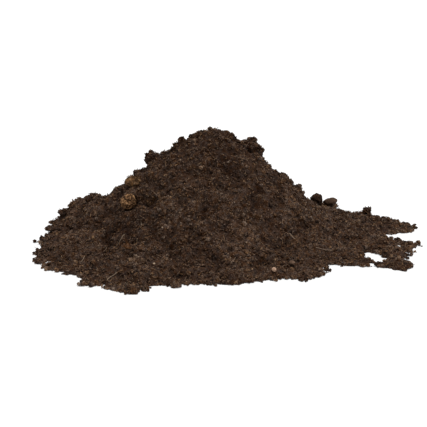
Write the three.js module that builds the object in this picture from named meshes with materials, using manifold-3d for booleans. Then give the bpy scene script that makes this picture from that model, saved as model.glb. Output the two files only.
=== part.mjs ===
// A heap of loose garden soil as it comes to lie when it is poured on a floor, with the larger
// lumps that stand out of its surface: clods, bark, wood chips and a pebble.
// Millimetres, +Z up. The floor is z = 0, the front of the heap faces -Y, and the origin is the
// middle of the base.

import * as THREE from 'three';
import { ImprovedNoise } from 'three/addons/math/ImprovedNoise.js';
import { mergeVertices } from 'three/addons/utils/BufferGeometryUtils.js';
import Module from 'manifold-3d';

const wasm = await Module();
wasm.setup();

// The mound: a cone at the soil's angle of repose that stands in a thin spread layer, the apron.
// Places are given from the middle of the apron as a bearing, in degrees anticlockwise from +X,
// and as out, the share of the way to the edge of the apron.

const CONE_HEIGHT = 112; // floor to the top of the cone, under its clods
const CONE_AT = { bearing: 0, out: 0.01 };
const REPOSE_ANGLE = 42; // degrees, the slope at which the soil stands
const SUMMIT_ROUNDING = 28; // distance over which the cone is rounded at its top
const TOP_FULLNESS = 4; // a top is round at 2 and flatter above that
const TOE_RADIUS = 185; // mean distance from the middle to the edge of the apron
const APRON_ANGLE = 11; // degrees, the slope of the apron
const TOE_DEPTH = 2.5; // thickness of the soil where its edge begins to fall off
const TOE_ANGLE = 40; // degrees, the slope of the edge itself
const TOE_OVERRUN = 1.05; // how far the surface is carried on, for the floor to cut it thin
const SLOPE_BLEND = 14; // height over which one slope runs into the next

// The edge of the apron runs past the mean radius in lobes, or stops short of it. spread is the
// half angle of a lobe in degrees.
const TOE_LOBES = [
  { bearing: 13.5, reach: 46, spread: 6 },
  { bearing: -8, reach: 32, spread: 8 },
  { bearing: -31, reach: 48, spread: 7 },
  { bearing: -42, reach: -27, spread: 7 },
  { bearing: -56, reach: 4, spread: 9 },
  { bearing: -70, reach: -14, spread: 9 },
  { bearing: -92, reach: -7, spread: 8 },
  { bearing: -103, reach: 19, spread: 5 },
  { bearing: -113, reach: 44, spread: 5 },
  { bearing: -122, reach: 28, spread: 6 },
  { bearing: -131, reach: 12, spread: 6 },
  { bearing: -143, reach: 15, spread: 8 },
  { bearing: -156, reach: 6, spread: 8 },
  { bearing: 176, reach: -10, spread: 14 },
  { bearing: 43, reach: 32, spread: 15 },
  { bearing: 26, reach: 20, spread: 7 },
];
const TOE_WANDER = 7; // how far the edge wanders in and out between the lobes
const TOE_WANDER_LENGTH = 22; // along the edge
const LOBE_TAPER = 4; // power by which lobes die away towards the middle

// Smaller mounds that slid or fell beside the cone.
const SIDE_ROUNDING = 26; // distance over which they are rounded at their tops
const SIDE_MOUNDS = [
  { bearing: 170, out: 0.5, height: 43 },
  { bearing: 160, out: 0.71, height: 31 },
  { bearing: -156, out: 0.72, height: 20 },
  { bearing: -119, out: 0.78, height: 18 },
  { bearing: -2, out: 0.64, height: 18 },
  { bearing: -15, out: 0.82, height: 12 },
];

// Hollows left where lumps have rolled out of the surface.
const HOLLOWS = [
  { bearing: -139, out: 0.46, radius: 15, depth: 6 },
  { bearing: -145, out: 0.7, radius: 14, depth: 5 },
  { bearing: -90, out: 0.78, radius: 16, depth: 5 },
  { bearing: 166, out: 0.22, radius: 15, depth: 3 },
  { bearing: 10, out: 0.165, radius: 7, depth: 6 },
  { bearing: 8, out: 0.62, radius: 20, depth: 8 },
  { bearing: -21, out: 0.93, radius: 10, depth: 16 },
  { bearing: -25.5, out: 0.93, radius: 10, depth: 16 },
  { bearing: -37.5, out: 0.96, radius: 14, depth: 12 },
];

// Clods that are part of the surface: domes in a spiral that covers the heap evenly.
const CLOD_COUNT = 210;
const CLOD_RADIUS_LEAST = 8;
const CLOD_RADIUS_MOST = 18;
const CLOD_DOME = 0.48; // how much of its radius a clod stands out
const CRUMB_RELIEF = 5; // height of the finest relief
const CRUMB_LENGTH = 12; // width of its bumps
const CRUMB_PATTERN = 32; // which of its many patterns the bumps follow

const HEAP_DETAIL = 24; // divisions along each edge of the heap's starting icosahedron, less one
const SEAT_GAP = 0.3; // between a lump and the hollow that it lies in
const FLOOR_SIDE = 4 * TOE_RADIUS; // of the block that cuts the base flat
const FLOOR_THICKNESS = 40;

const SOIL = new THREE.MeshStandardMaterial({ color: 0x3a2b23, roughness: 0.95, metalness: 0 });
const DARK_SOIL = new THREE.MeshStandardMaterial({ color: 0x2f231d, roughness: 0.95, metalness: 0 });
const PEAT = new THREE.MeshStandardMaterial({ color: 0x5a4332, roughness: 1, metalness: 0 });
const BARK = new THREE.MeshStandardMaterial({ color: 0x6a4a31, roughness: 0.9, metalness: 0 });
const STONE = new THREE.MeshStandardMaterial({ color: 0xc09a78, roughness: 0.6, metalness: 0 });

// Lumps that can be picked off the heap. size is length, width and height, turn is degrees about
// +Z, sunk is the share of the height that is in the soil, and rugged is how uneven the lump is.
const LUMPS = {
  summit_clod: {
    material: SOIL, size: [29, 29, 28], rugged: 0.3,
    bearing: 7, out: 0.23, turn: 15, sunk: 0.63,
  },
  ridge_clod: {
    material: SOIL, size: [17, 17, 16], rugged: 0.35,
    bearing: 173, out: 0.305, turn: 40, sunk: 0.6,
  },
  shoulder_clod: {
    material: SOIL, size: [13, 13, 12], rugged: 0.25,
    bearing: 165, out: 0.7, turn: 0, sunk: 0.6,
  },
  bark_nugget: {
    material: BARK, size: [17, 16, 17], rugged: 0.2,
    bearing: -149, out: 0.508, turn: 25, sunk: 0.42,
  },
  peat_tuft: {
    material: PEAT, size: [15, 14, 11], rugged: 0.35,
    bearing: -166.3, out: 0.425, turn: 10, sunk: 0.5,
  },
  oval_bark_chip: {
    material: BARK, size: [16, 12, 10], rugged: 0.15,
    bearing: 46, out: 0.945, turn: 20, sunk: 0.05,
  },
  angular_clod: {
    material: DARK_SOIL, size: [13, 13, 16], rugged: 0.4,
    bearing: 49.8, out: 0.925, turn: 50, sunk: 0.42,
  },
  rim_clod_left: {
    material: SOIL, size: [12, 10, 8], rugged: 0.35,
    bearing: 168.5, out: 0.89, turn: 15, sunk: 0.2,
  },
  rim_flake_left: {
    material: DARK_SOIL, size: [20, 12, 6], rugged: 0.2,
    bearing: -178, out: 0.9, turn: 5, sunk: 0.4,
  },
  rim_clod_right: {
    material: SOIL, size: [12, 10, 9], rugged: 0.35,
    bearing: 28.5, out: 0.945, turn: 60, sunk: 0.2,
  },
  front_clod: {
    material: SOIL, size: [18, 14, 9], rugged: 0.3,
    bearing: -109.5, out: 1.02, turn: -10, sunk: 0.05,
  },
  wood_chip_left: {
    material: BARK, size: [10, 6, 5], rugged: 0.2,
    bearing: -123, out: 0.75, turn: 100, sunk: 0.1,
  },
  wood_chip_right: {
    material: BARK, size: [10, 6, 5], rugged: 0.2,
    bearing: -57.5, out: 0.85, turn: 110, sunk: 0.15,
  },
  pale_pebble: {
    material: STONE, size: [5, 5, 4.6], rugged: 0.1,
    bearing: -67.5, out: 0.995, turn: 0, sunk: 0.4,
  },
};
const LUMP_FACET = 3.6; // half the length of a lump's facets
const LUMP_BUMPS = 2; // bumps along half the length of a lump

const noise = new ImprovedNoise();
const GOLDEN_ANGLE = Math.PI * (3 - Math.sqrt(5));

const slopeOf = (degrees) => Math.tan(THREE.MathUtils.degToRad(degrees));

// The larger of two heights, with the crease between them filled over the given height.
function smoothMax(a, b, blend) {
  const overlap = Math.max(blend - Math.abs(a - b), 0) / blend;
  return Math.max(a, b) + (overlap * overlap * blend) / 4;
}

const smoothMin = (a, b, blend) => -smoothMax(-a, -b, blend);

// How far the edge of the apron runs past the mean radius at a bearing.
function toeSpread(bearing) {
  const angle = THREE.MathUtils.degToRad(bearing);
  const turns = TOE_RADIUS / TOE_WANDER_LENGTH;
  let spread = TOE_WANDER * noise.noise(turns * Math.cos(angle), turns * Math.sin(angle), 0);
  for (const lobe of TOE_LOBES) {
    const apart = THREE.MathUtils.euclideanModulo(bearing - lobe.bearing + 180, 360) - 180;
    spread += lobe.reach * Math.exp(-((apart / lobe.spread) ** 2));
  }
  return spread;
}

// The place on the floor that a bearing and a share of the way to the edge give.
function placeOf({ bearing, out }) {
  const angle = THREE.MathUtils.degToRad(bearing);
  const distance = out * TOE_RADIUS + out ** LOBE_TAPER * toeSpread(bearing);
  return new THREE.Vector2(distance * Math.cos(angle), distance * Math.sin(angle));
}

// How far inside the edge of the apron a place is.
function insideToe(place) {
  const spread = toeSpread(THREE.MathUtils.radToDeg(place.angle()));
  const distance = place.length();
  const out = Math.min(distance / (TOE_RADIUS + spread), 1);
  return TOE_RADIUS + out ** LOBE_TAPER * spread - distance;
}

// Height of a rounded cone of soil at a place.
function coneHeight(place, cone, height, rounding) {
  const sum = place.distanceTo(cone) ** TOP_FULLNESS + rounding ** TOP_FULLNESS;
  return height - slopeOf(REPOSE_ANGLE) * (sum ** (1 / TOP_FULLNESS) - rounding);
}

const conePlace = placeOf(CONE_AT);
const sideMounds = SIDE_MOUNDS.map((mound) => ({ ...mound, place: placeOf(mound) }));
const hollows = HOLLOWS.map((hollow) => ({ ...hollow, place: placeOf(hollow) }));

// Height of the heap's smooth form, without clods and crumbs.
function moundHeight(place) {
  const inside = insideToe(place);
  let height = TOE_DEPTH + slopeOf(APRON_ANGLE) * inside;
  const cone = coneHeight(place, conePlace, CONE_HEIGHT, SUMMIT_ROUNDING);
  height = smoothMax(height, cone, SLOPE_BLEND);
  for (const mound of sideMounds) {
    const side = coneHeight(place, mound.place, mound.height, SIDE_ROUNDING);
    height = smoothMax(height, side, SLOPE_BLEND);
  }
  for (const hollow of hollows) {
    const away = place.distanceTo(hollow.place) / hollow.radius;
    height -= hollow.depth * Math.exp(-away * away);
  }
  return smoothMin(height, TOE_DEPTH + slopeOf(TOE_ANGLE) * inside, TOE_DEPTH);
}

const moundPoint = (place) => new THREE.Vector3(place.x, place.y, moundHeight(place));

// The way out of the smooth form at a place.
function moundNormal(place) {
  const acrossX = moundPoint(new THREE.Vector2(place.x + TOE_DEPTH, place.y)).sub(moundPoint(place));
  const acrossY = moundPoint(new THREE.Vector2(place.x, place.y + TOE_DEPTH)).sub(moundPoint(place));
  return acrossX.cross(acrossY).normalize();
}

// The clods of the surface, each with its centre on the smooth form and its radius.
const clods = Array.from({ length: CLOD_COUNT }, (_, index) => {
  const bearing = THREE.MathUtils.radToDeg(index * GOLDEN_ANGLE);
  const jitter = THREE.MathUtils.seededRandom(index);
  const size = THREE.MathUtils.seededRandom(index + CLOD_COUNT) ** 2;
  return {
    centre: moundPoint(placeOf({ bearing, out: Math.sqrt((index + jitter) / CLOD_COUNT) })),
    radius: THREE.MathUtils.lerp(CLOD_RADIUS_LEAST, CLOD_RADIUS_MOST, size),
  };
});

// A point of the real surface: the smooth form, raised along its normal by clods and crumbs.
function soilPoint(place) {
  const point = moundPoint(place);
  const grain = point.clone().divideScalar(CRUMB_LENGTH);
  const crumbs = CRUMB_RELIEF * noise.noise(grain.x, grain.y, grain.z + CRUMB_PATTERN);
  let dome = 0;
  for (const clod of clods) {
    const away = Math.min(point.distanceTo(clod.centre) / clod.radius, 1);
    dome = Math.max(dome, CLOD_DOME * clod.radius * Math.sqrt(1 - away * away));
  }
  return point.addScaledVector(moundNormal(place), crumbs + dome);
}

// Geometry with only positions, whose shared corners are merged.
function welded(geometry) {
  geometry.deleteAttribute('normal');
  geometry.deleteAttribute('uv');
  return mergeVertices(geometry);
}

// Moves every vertex of a geometry to where a function puts it.
function reshape(geometry, move) {
  const position = geometry.getAttribute('position');
  for (let index = 0; index < position.count; index++) {
    const point = move(new THREE.Vector3().fromBufferAttribute(position, index));
    position.setXYZ(index, point.x, point.y, point.z);
  }
  return geometry;
}

function solidFrom(geometry) {
  const mesh = new wasm.Mesh({
    numProp: 3,
    vertProperties: geometry.getAttribute('position').array,
    triVerts: new Uint32Array(geometry.index.array),
  });
  return new wasm.Manifold(mesh);
}

function geometryFrom(solid) {
  const mesh = solid.getMesh();
  const geometry = new THREE.BufferGeometry();
  geometry.setAttribute('position', new THREE.BufferAttribute(mesh.vertProperties, mesh.numProp));
  geometry.setIndex(new THREE.BufferAttribute(mesh.triVerts, 1));
  return geometry;
}

// The floor as a block that takes away whatever is below z = 0.
function floorBlock() {
  const block = new THREE.BoxGeometry(FLOOR_SIDE, FLOOR_SIDE, FLOOR_THICKNESS);
  return solidFrom(welded(block.translate(0, 0, -FLOOR_THICKNESS / 2)));
}

// The heap before anything is cut from it. The upper half of a sphere is spread evenly over the
// footprint and raised to the surface, and the lower half closes it below the floor.
function heapForm() {
  const sphere = welded(new THREE.IcosahedronGeometry(1, HEAP_DETAIL));
  return reshape(sphere, (point) => {
    const bearing = THREE.MathUtils.radToDeg(Math.atan2(point.y, point.x));
    const place = placeOf({ bearing, out: TOE_OVERRUN * Math.sqrt(1 - Math.abs(point.z)) });
    return point.z > 0 ? soilPoint(place) : point.set(place.x, place.y, -FLOOR_THICKNESS / 2);
  });
}

// A lump where it lies on the heap, grown all round by the given amount.
function lumpForm(lump, growth) {
  const [length, width, height] = lump.size;
  const half = new THREE.Vector3(length, width, height).divideScalar(2);
  const form = welded(new THREE.IcosahedronGeometry(1, Math.round(half.x / LUMP_FACET)));
  const seat = soilPoint(placeOf(lump));
  reshape(form, (point) => {
    const grain = point.clone().multiplyScalar(LUMP_BUMPS).add(seat);
    const bulge = 1 + lump.rugged * noise.noise(grain.x, grain.y, grain.z);
    point.multiply(half).multiplyScalar(bulge);
    return point.setLength(point.length() + growth);
  });
  form.rotateZ(THREE.MathUtils.degToRad(lump.turn));
  return form.translate(seat.x, seat.y, seat.z + height / 2 - height * lump.sunk);
}

function namedMesh(name, solid, material) {
  const mesh = new THREE.Mesh(geometryFrom(solid), material);
  mesh.name = name;
  return mesh;
}

function buildHeap() {
  const floor = floorBlock();
  const group = new THREE.Group();
  let heap = solidFrom(heapForm()).subtract(floor);
  for (const [name, lump] of Object.entries(LUMPS)) {
    heap = heap.subtract(solidFrom(lumpForm(lump, SEAT_GAP)));
    group.add(namedMesh(name, solidFrom(lumpForm(lump, 0)).subtract(floor), lump.material));
  }
  group.add(namedMesh('soil_heap', heap, SOIL));
  const middle = new THREE.Box3().setFromObject(group).getCenter(new THREE.Vector3());
  group.position.set(-middle.x, -middle.y, 0);
  return group;
}

export default buildHeap();
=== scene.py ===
import math

import bmesh
import bpy
import numpy as np
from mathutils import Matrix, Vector, noise
from mathutils.bvhtree import BVHTree


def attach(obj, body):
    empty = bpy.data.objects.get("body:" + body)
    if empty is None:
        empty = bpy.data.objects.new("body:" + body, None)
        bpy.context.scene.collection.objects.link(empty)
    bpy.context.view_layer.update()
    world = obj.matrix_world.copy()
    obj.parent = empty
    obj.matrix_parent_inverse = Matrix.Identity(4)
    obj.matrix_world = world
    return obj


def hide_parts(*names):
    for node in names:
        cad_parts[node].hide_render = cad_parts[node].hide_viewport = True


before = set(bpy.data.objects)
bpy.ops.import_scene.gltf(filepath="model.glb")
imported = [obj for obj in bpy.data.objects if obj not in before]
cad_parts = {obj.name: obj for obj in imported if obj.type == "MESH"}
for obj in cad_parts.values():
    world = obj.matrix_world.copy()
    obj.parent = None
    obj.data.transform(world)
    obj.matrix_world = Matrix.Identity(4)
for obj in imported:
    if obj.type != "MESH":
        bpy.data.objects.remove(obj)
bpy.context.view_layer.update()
scene = bpy.context.scene
scene.view_settings.view_transform = "Standard"

MM = 0.001
SEED = 11
# Map for baked colours: margin and width of what is laid in a square of its own, and width of the heap's
# topside, with the place and width of the strip for its underside
BAKE_MAP = "OFBake"
SQUARE_MARGIN = 0.04
SQUARE_WIDTH = 0.92
TOPSIDE_WIDTH = 0.94
STRIP_PLACE = 0.95
STRIP_WIDTH = 0.05
# Corners of a solid this near are one, what is lower than this lies on the floor, and a face that
# looks down from no higher than this is the underside
WELD = 0.02 * MM
ON_FLOOR = 0.02 * MM
UNDERSIDE_HEIGHT = 1.6 * MM

# Body of soil: the voxel it is fused at, and how far it is drawn in to leave room for the crumbs, in full
# from this height on
SOIL_VOXEL = 1.75 * MM
SOIL_DRAWN_IN = 2.2 * MM
DRAWN_IN_FROM = 6 * MM
# Relief of the soil between its clumps: cell, height
SOIL_RELIEF = [(3.6 * MM, 1.8 * MM), (9.0 * MM, 2.4 * MM)]
# Lumps of soil on the skyline, and those that fill the tongues and the edge of the toe: place and diameter
# in mm
SKYLINE_LUMPS = [(0, 26, 110, 16), (5, 26, 108, 15), (10, 24, 106, 13), (-29, 21, 113, 12),
                 (-48, 10, 107, 14), (-54, 27, 101, 12), (77, 54, 48, 15)]
EDGE_LUMPS = [(166, -40, 4, 13), (173, -42, 4, 14), (169, -50, 4, 14), (177, -52, 4, 14), (171, -59, 4, 14),
              (179, -63, 4, 13), (173, -69, 4, 13), (182, 62, 4, 14), (190, 60, 4, 14), (197, 59, 3, 11),
              (185, 73, 4, 14), (193, 70, 3, 12), (180, 84, 3, 13), (172, -104, 3, 12), (181, -106, 3, 11),
              (170, -114, 3, 12), (178, -118, 3, 12), (190, -38, 3, 12), (191, -35, 3, 10),
              (-93, -206, 3, 11), (-82, -196, 3, 10), (163, -63, 4, 12), (150, 103, 6, 11), (157, 98, 5, 12),
              (165, 103, 4, 11)]
# Dips of the slope and bays of the toe, from above: place, radius and depth in mm
DIPS = [(45, 22, 17, 14), (-134, 38, 13, 9), (-132, 62, 14, 8), (143, 132, 22, 8), (-203, 37, 27, 14),
        (-186, 60, 14, 11), (-212, -32, 22, 13), (112, -109, 13, 9), (126, -112, 13, 9), (-206, 14, 14, 12),
        (-203, -4, 13, 12), (-200, -20, 13, 11), (170, 30, 9, 10), (178, 28, 10, 10), (186, 28, 10, 10),
        (150, -53, 11, 10), (156, -57, 8, 10), (147, -66, 11, 10), (150, -86, 14, 2), (138, 160, 18, 10),
        (155, 148, 14, 8), (198, -70, 12, 8), (201, -88, 10, 7), (182, 14, 12, 5), (195, 8, 14, 5),
        (172, 118, 14, 5), (182, 105, 12, 5), (-69, -182, 13, 8), (-116, -202, 12, 8), (210, 72, 10, 8),
        (-150, -158, 10, 8), (190, -80, 9, 9), (197, -84, 9, 9), (193, -103, 10, 9), (203, -106, 10, 8),
        (200, 0, 12, 8), (190, 2, 9, 5), (-152, -150, 9, 7), (-192, 78, 14, 8), (-206, -62, 12, 8)]
# Clods in the apron, front left: from above their place and reach, and their width
CREASED = (-112 * MM, -85 * MM, 85 * MM)
CLOD_WIDTH = 25 * MM
# Creases between those clods: depth, share of a clod's width, how soon they fade at the edge of the
# place, and the most that they take of the soil's height
CREASE_DEPTH = 6.5 * MM
CREASE_WIDTH = 0.4
CREASE_FADE = 1.6
CREASE_MOST = 0.35
# Ragged edge of the toe: bites of this width and depth, where the soil is lower than this, and how
# sharply they start
BITE_WIDTH = 9 * MM
BITE_DEPTH = 6 * MM
BITE_HEIGHT = 14 * MM
BITE_SHARPNESS = 2.4
# The soil stays as it is this near to what lies on it, and is free from there on
BITE_CLEAR = (0.5 * MM, 3.5 * MM)
# The underside is drawn down this far before the soil is cut off at the floor
UNDERSIDE_DEPTH = 20 * MM
# Hollows of the surface, in which the soil is darkened as painted shade and partly as darker soil that
# gathers there: grid and its side, width they are seen over, depth of the darkest, and the height of soil
# from which they count in full
HOLLOW_CELL = 3 * MM
HOLLOW_SIDE = 160
HOLLOW_WIDTH = 9 * MM
HOLLOW_DEPTH = 3.5 * MM
HOLLOW_FROM = 14 * MM

# Grains of each size: number on a square metre, diameters, share sunk in, distance kept from the lumps
CLUMPS = dict(density=18000, smallest=4 * MM, largest=11 * MM, sink=0.2, detail=2, clear=2.5 * MM)
COARSE_CRUMBS = dict(density=27500, smallest=2.8 * MM, largest=6.5 * MM, sink=0.05, detail=1, clear=1.6 * MM)
FINE_CRUMBS = dict(density=40000, smallest=1.6 * MM, largest=4.2 * MM, sink=0.0, detail=1, clear=1 * MM)
CRUMB_CORNERS = 12
# Grains lie on faces that look no further down than this, most of them small, and keep this share of
# their size from the lumps
GRAIN_FACING = -0.2
GRAIN_SKEW = 2.0
GRAIN_ROOM = 0.3
# Least and most that a grain on the soil, and a crumb at a place, is stretched, and how fine its knobs are
GRAIN_STRETCH = (0.6, 1.25)
CRUMB_STRETCH = (0.7, 1.3)
KNOBS = 1.6
# Lumps that are not loose soil: the crumbs leave them clear, and the lumps of a clod leave nothing clear
CLEAR_LUMPS = ("bark_nugget", "oval_bark_chip", "angular_clod", "wood_chip_left", "wood_chip_right",
               "pale_pebble")
NO_CLEARANCE = -1.0

# Clods and flake of soil, and the size of their clumps in mm
SOIL_CLODS = {"summit_clod": 6.5, "ridge_clod": 4.5, "shoulder_clod": 3.2, "rim_clod_left": 3.0,
              "rim_clod_right": 3.0, "front_clod": 3.5}
FLAKE_CLUMP = 2.8
# In parts of the clump: lumps fused to a clod, the voxel, its relief and how far it is drawn in
CLOD_LUMPS = (0.5, 1.3)
CLOD_VOXEL = 0.16
CLOD_RELIEF = (0.5, 0.16)
CLOD_DRAWN_IN = 0.12
# Lumps on a square of a clump's width, and the share of each that is sunk in
CLOD_DENSITY = 0.5
CLOD_SINK = 0.3
# Knob that stands out from a clod: place and diameter in mm
CLOD_KNOBS = {"summit_clod": (34.5, 16, 92, 17)}
# Bark nugget: voxel and relief, width of its plates, and the cracks between them: depth, share of a plate
NUGGET_VOXEL = 0.4 * MM
NUGGET_RELIEF = [(2.2 * MM, 1.2 * MM), (5.0 * MM, 1.2 * MM)]
BARK_PLATE = 6.5 * MM
CRACK_DEPTH = 1.1 * MM
CRACK_WIDTH = 0.14

# Toe: spacing of its places, and lumps fused into its edge: share of the places that have one, sizes and
# how many are small, and how far out each stands and how high, in parts of its size
RIM_SPACING = 1.2 * MM
TOE_LUMP_SHARE = 0.3
TOE_LUMP = (4 * MM, 12 * MM)
TOE_LUMP_SKEW = 2.2
TOE_LUMP_OUT = (-0.7, 0.15)
TOE_LUMP_RISE = 0.28
# Strings of crumbs in front of the toe: share of the places that have one, crumbs in each, reach, sizes
# and how many are small, height, step to the first crumb and to the next ones, and spread of the
# string's bearing at its start and at each crumb
RIM_SHARE = 0.42
RIM_STRING = 2.6
RIM_REACH = 12 * MM
RIM_CRUMB = (1.0 * MM, 5.5 * MM)
RIM_CRUMB_SKEW = 2.8
RIM_CRUMB_RISE = 0.36
RIM_FIRST_STEP = 0.1
RIM_CRUMB_STEP = 0.42
RIM_BEARING = 0.35
RIM_TURN = 0.7
# Patches of the rim in which the strings are longer or shorter: width, strength, and the least that stays
RIM_PATCH = 22 * MM
RIM_PATCH_STRENGTH = 1.5
RIM_PATCH_LEAST = 0.3
# Gaps between the tongues of the toe stay nearly bare where the far side is this near, this straight ahead
# and faces back this squarely (as cosines)
GAP_WIDTH = 26 * MM
GAP_AHEAD = 0.8
GAP_FACING = -0.3
GAP_SHARE = 0.35

# Roots and fibres: number, length, steps along each, how far they rise
LONG_ROOTS = dict(count=170, length=(8 * MM, 20 * MM), steps=8)
SHORT_ROOTS = dict(count=900, length=(2.5 * MM, 7 * MM), steps=4, lift=(0.1, 0.6))
PEAT_FIBRES = dict(count=7400, length=(1.8 * MM, 4.8 * MM), steps=2, lift=(0.0, 0.25))
PEAT_BITS = dict(count=11800, length=(0.8 * MM, 2.4 * MM), steps=1, lift=(0.0, 0.7))
CHIP_SPLINTERS = dict(count=120, length=(1.5 * MM, 4 * MM), steps=3, lift=(0.0, 0.35))
TUFT_FIBRES = dict(count=260, length=(2 * MM, 5 * MM), steps=4, lift=(0.0, 0.4))
SECOND_TUFT_FIBRES = dict(count=60, length=(2.5 * MM, 6 * MM), steps=4, lift=(0.1, 0.6))
FIBRE_PIECES = 2
BIT_PIECES = 2
LONG_THICKNESS = 0.34 * MM
SHORT_THICKNESS = 0.34 * MM
FIBRE_THICKNESS = 0.65 * MM
BIT_THICKNESS = 0.95 * MM
SPLINTER_THICKNESS = 0.7 * MM
TUFT_THICKNESS = 0.45 * MM
SECOND_TUFT_THICKNESS = 0.42 * MM
# Roots start on faces that look up this far, and are let down on the soil from this height
ROOT_FACING = 0.1
ROOT_DROP_FROM = 0.3
# Roots that lie turn evenly and wander by these spreads, in radians at each step
ROOT_TURN = 0.22
ROOT_WANDER = 0.1
# They lie this far above the soil, cut this far into what they cross, and are no steeper than this
ROOT_HEIGHT = 0.9 * MM
ROOT_CUT = 1.0 * MM
ROOT_STEEPEST = 1.2
# Bent ends curl by this share of their length, start this deep, and stay this far above the floor
ROOT_CURL = 0.2
ROOT_SUNK = 0.2 * MM
ROOT_LOWEST = 0.3 * MM
# Peat fibres keep this near to the soil, and this far from the lumps that are not soil
FIBRE_HEIGHT = 1.9 * MM
FIBRE_CLEAR = 1.1 * MM
# Roots that show one by one, from above: start and length in mm, heading, and how far it turns on the way
SHOWN_ROOTS = [
    dict(x=-96, y=-34, heading=-20, length=11, turn=-40),
    dict(x=-76, y=-38, heading=-40, length=6, turn=-40),
    dict(x=-116, y=-80, heading=5, length=15, turn=65),
    dict(x=-118.5, y=-174, heading=72, length=20, turn=-15),
    dict(x=-149, y=-100, heading=60, length=9, turn=12),
    dict(x=-127, y=-79, heading=45, length=6, turn=25),
    dict(x=91, y=-83, heading=50, length=20, turn=-45),
    dict(x=64, y=-81, heading=-65, length=9, turn=30),
]
SHOWN_STEPS = 12
SHOWN_THICKNESS = 0.7 * MM
SHOWN_HEIGHT = 2.4 * MM
SHOWN_TINT = 0.75
# Second small tuft: place in mm, radius, and its darkest tint with the span from there on
SECOND_TUFT = (-81, -41.5, 54.8)
SECOND_TUFT_RADIUS = 7 * MM
SECOND_TUFT_DARKEST = 0.2
SECOND_TUFT_SPAN = 0.5
# Pale specks: those that show one by one, from above, with place and diameter in mm and tint, and the others
SHOWN_SPECKS = [(-89.5, -116, 1.8, 0.35), (-73, -145, 2.2, 0.8), (-66, -88, 1.8, 0.55)]
SPECK_HEIGHT = 1.0 * MM
SPECK_COUNT = 10
SPECK_SIZE = (0.9 * MM, 1.7 * MM)
SPECK_PALEST = 0.75

# Every finish has little gloss; a crumb's second number comes from its tint times this
GLOSS = 0.08
TINT_SCATTER = 37.7

# Floor, a hair below the soil; lamp and sky; camera, with its lens and sensor in mm
FLOOR_REACH = 6.0
FLOOR_DROP = 0.2 * MM
LAMP_SPREAD = math.radians(38)
LAMP_STRENGTH = 2.45
LAMP_TURN = (math.radians(14), math.radians(9), 0)
SKY = 0.27
CAMERA_LENS = 174.8
CAMERA_SENSOR = 36
CAMERA_PLACE = (-13.85 * MM, -2144.7 * MM, 527.0 * MM)
CAMERA_TURN = (math.radians(77), 0, 0)


def add(tree, kind, links=None, **settings):
    """One node, with its settings, its inputs linked to a socket or set to a value."""
    node = tree.nodes.new(kind)
    for name, value in settings.items():
        setattr(node, name, value)
    for name, source in (links or {}).items():
        target = node.inputs[name]
        if isinstance(source, bpy.types.NodeSocket):
            tree.links.new(source, target)
        else:
            target.default_value = source
    return node


def math_of(tree, operation, first, second=0.5, third=0.5):
    return add(tree, "ShaderNodeMath", {0: first, 1: second, 2: third}, operation=operation).outputs[0]


def vector_of(tree, operation, first, second):
    key = "Scale" if operation == "SCALE" else 1
    return add(tree, "ShaderNodeVectorMath", {0: first, key: second}, operation=operation).outputs["Vector"]


def new_group(name, kind, inputs, outputs):
    tree = bpy.data.node_groups.new(name, kind)
    for label, socket in inputs.items():
        tree.interface.new_socket(label, in_out="INPUT", socket_type="NodeSocket" + socket)
    for label, socket in outputs.items():
        tree.interface.new_socket(label, in_out="OUTPUT", socket_type="NodeSocket" + socket)
    return tree, tree.nodes.new("NodeGroupInput").outputs, tree.nodes.new("NodeGroupOutput").inputs


def chance_of(tree, seed, offset, kind="FLOAT", low=0.0, high=1.0):
    """A random number, or three of them, for each point."""
    node = add(tree, "FunctionNodeRandomValue", {"Seed": math_of(tree, "ADD", seed, float(offset))},
               data_type=kind)
    if kind == "FLOAT_VECTOR":
        node.inputs["Min"].default_value = (low, low, low)
        node.inputs["Max"].default_value = (high, high, high)
    return node.outputs["Value"]


def stored(tree, geometry, name, value, domain):
    node = add(tree, "GeometryNodeStoreNamedAttribute", {"Geometry": geometry, "Name": name, "Value": value},
               data_type="FLOAT", domain=domain)
    return node.outputs["Geometry"]


def own_value(tree, name):
    return add(tree, "GeometryNodeInputNamedAttribute", {"Name": name}, data_type="FLOAT").outputs[0]


def lumps_at(tree, points, size, given, low, high):
    """A knobbly lump at each point, of the point's size, turned and stretched at random."""
    lump = add(tree, "GeometryNodeMeshIcoSphere", {"Radius": 0.5, "Subdivisions": given["Detail"]})
    stretch = chance_of(tree, given["Seed"], 2, "FLOAT_VECTOR", low, high)
    placed = add(tree, "GeometryNodeInstanceOnPoints",
                 {"Points": points, "Instance": lump.outputs["Mesh"],
                  "Rotation": chance_of(tree, given["Seed"], 1, "FLOAT_VECTOR", 0.0, math.tau),
                  "Scale": vector_of(tree, "SCALE", stretch, size)})
    loose = add(tree, "GeometryNodeRealizeInstances", {"Geometry": placed.outputs["Instances"]})
    place = tree.nodes.new("GeometryNodeInputPosition").outputs[0]
    at = vector_of(tree, "SCALE", place, math_of(tree, "DIVIDE", KNOBS, size))
    wobble = add(tree, "ShaderNodeTexNoise", {"Vector": at, "Scale": 1.0, "Detail": 2.0})
    centred = vector_of(tree, "SUBTRACT", wobble.outputs["Color"], (0.5, 0.5, 0.5))
    push = vector_of(tree, "SCALE", centred, math_of(tree, "MULTIPLY", size, given["Roughness"]))
    moved = add(tree, "GeometryNodeSetPosition", {"Geometry": loose.outputs["Geometry"], "Offset": push})
    painted = add(tree, "GeometryNodeSetMaterial",
                  {"Geometry": moved.outputs["Geometry"], "Material": given["Material"]})
    return painted.outputs["Geometry"]


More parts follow.
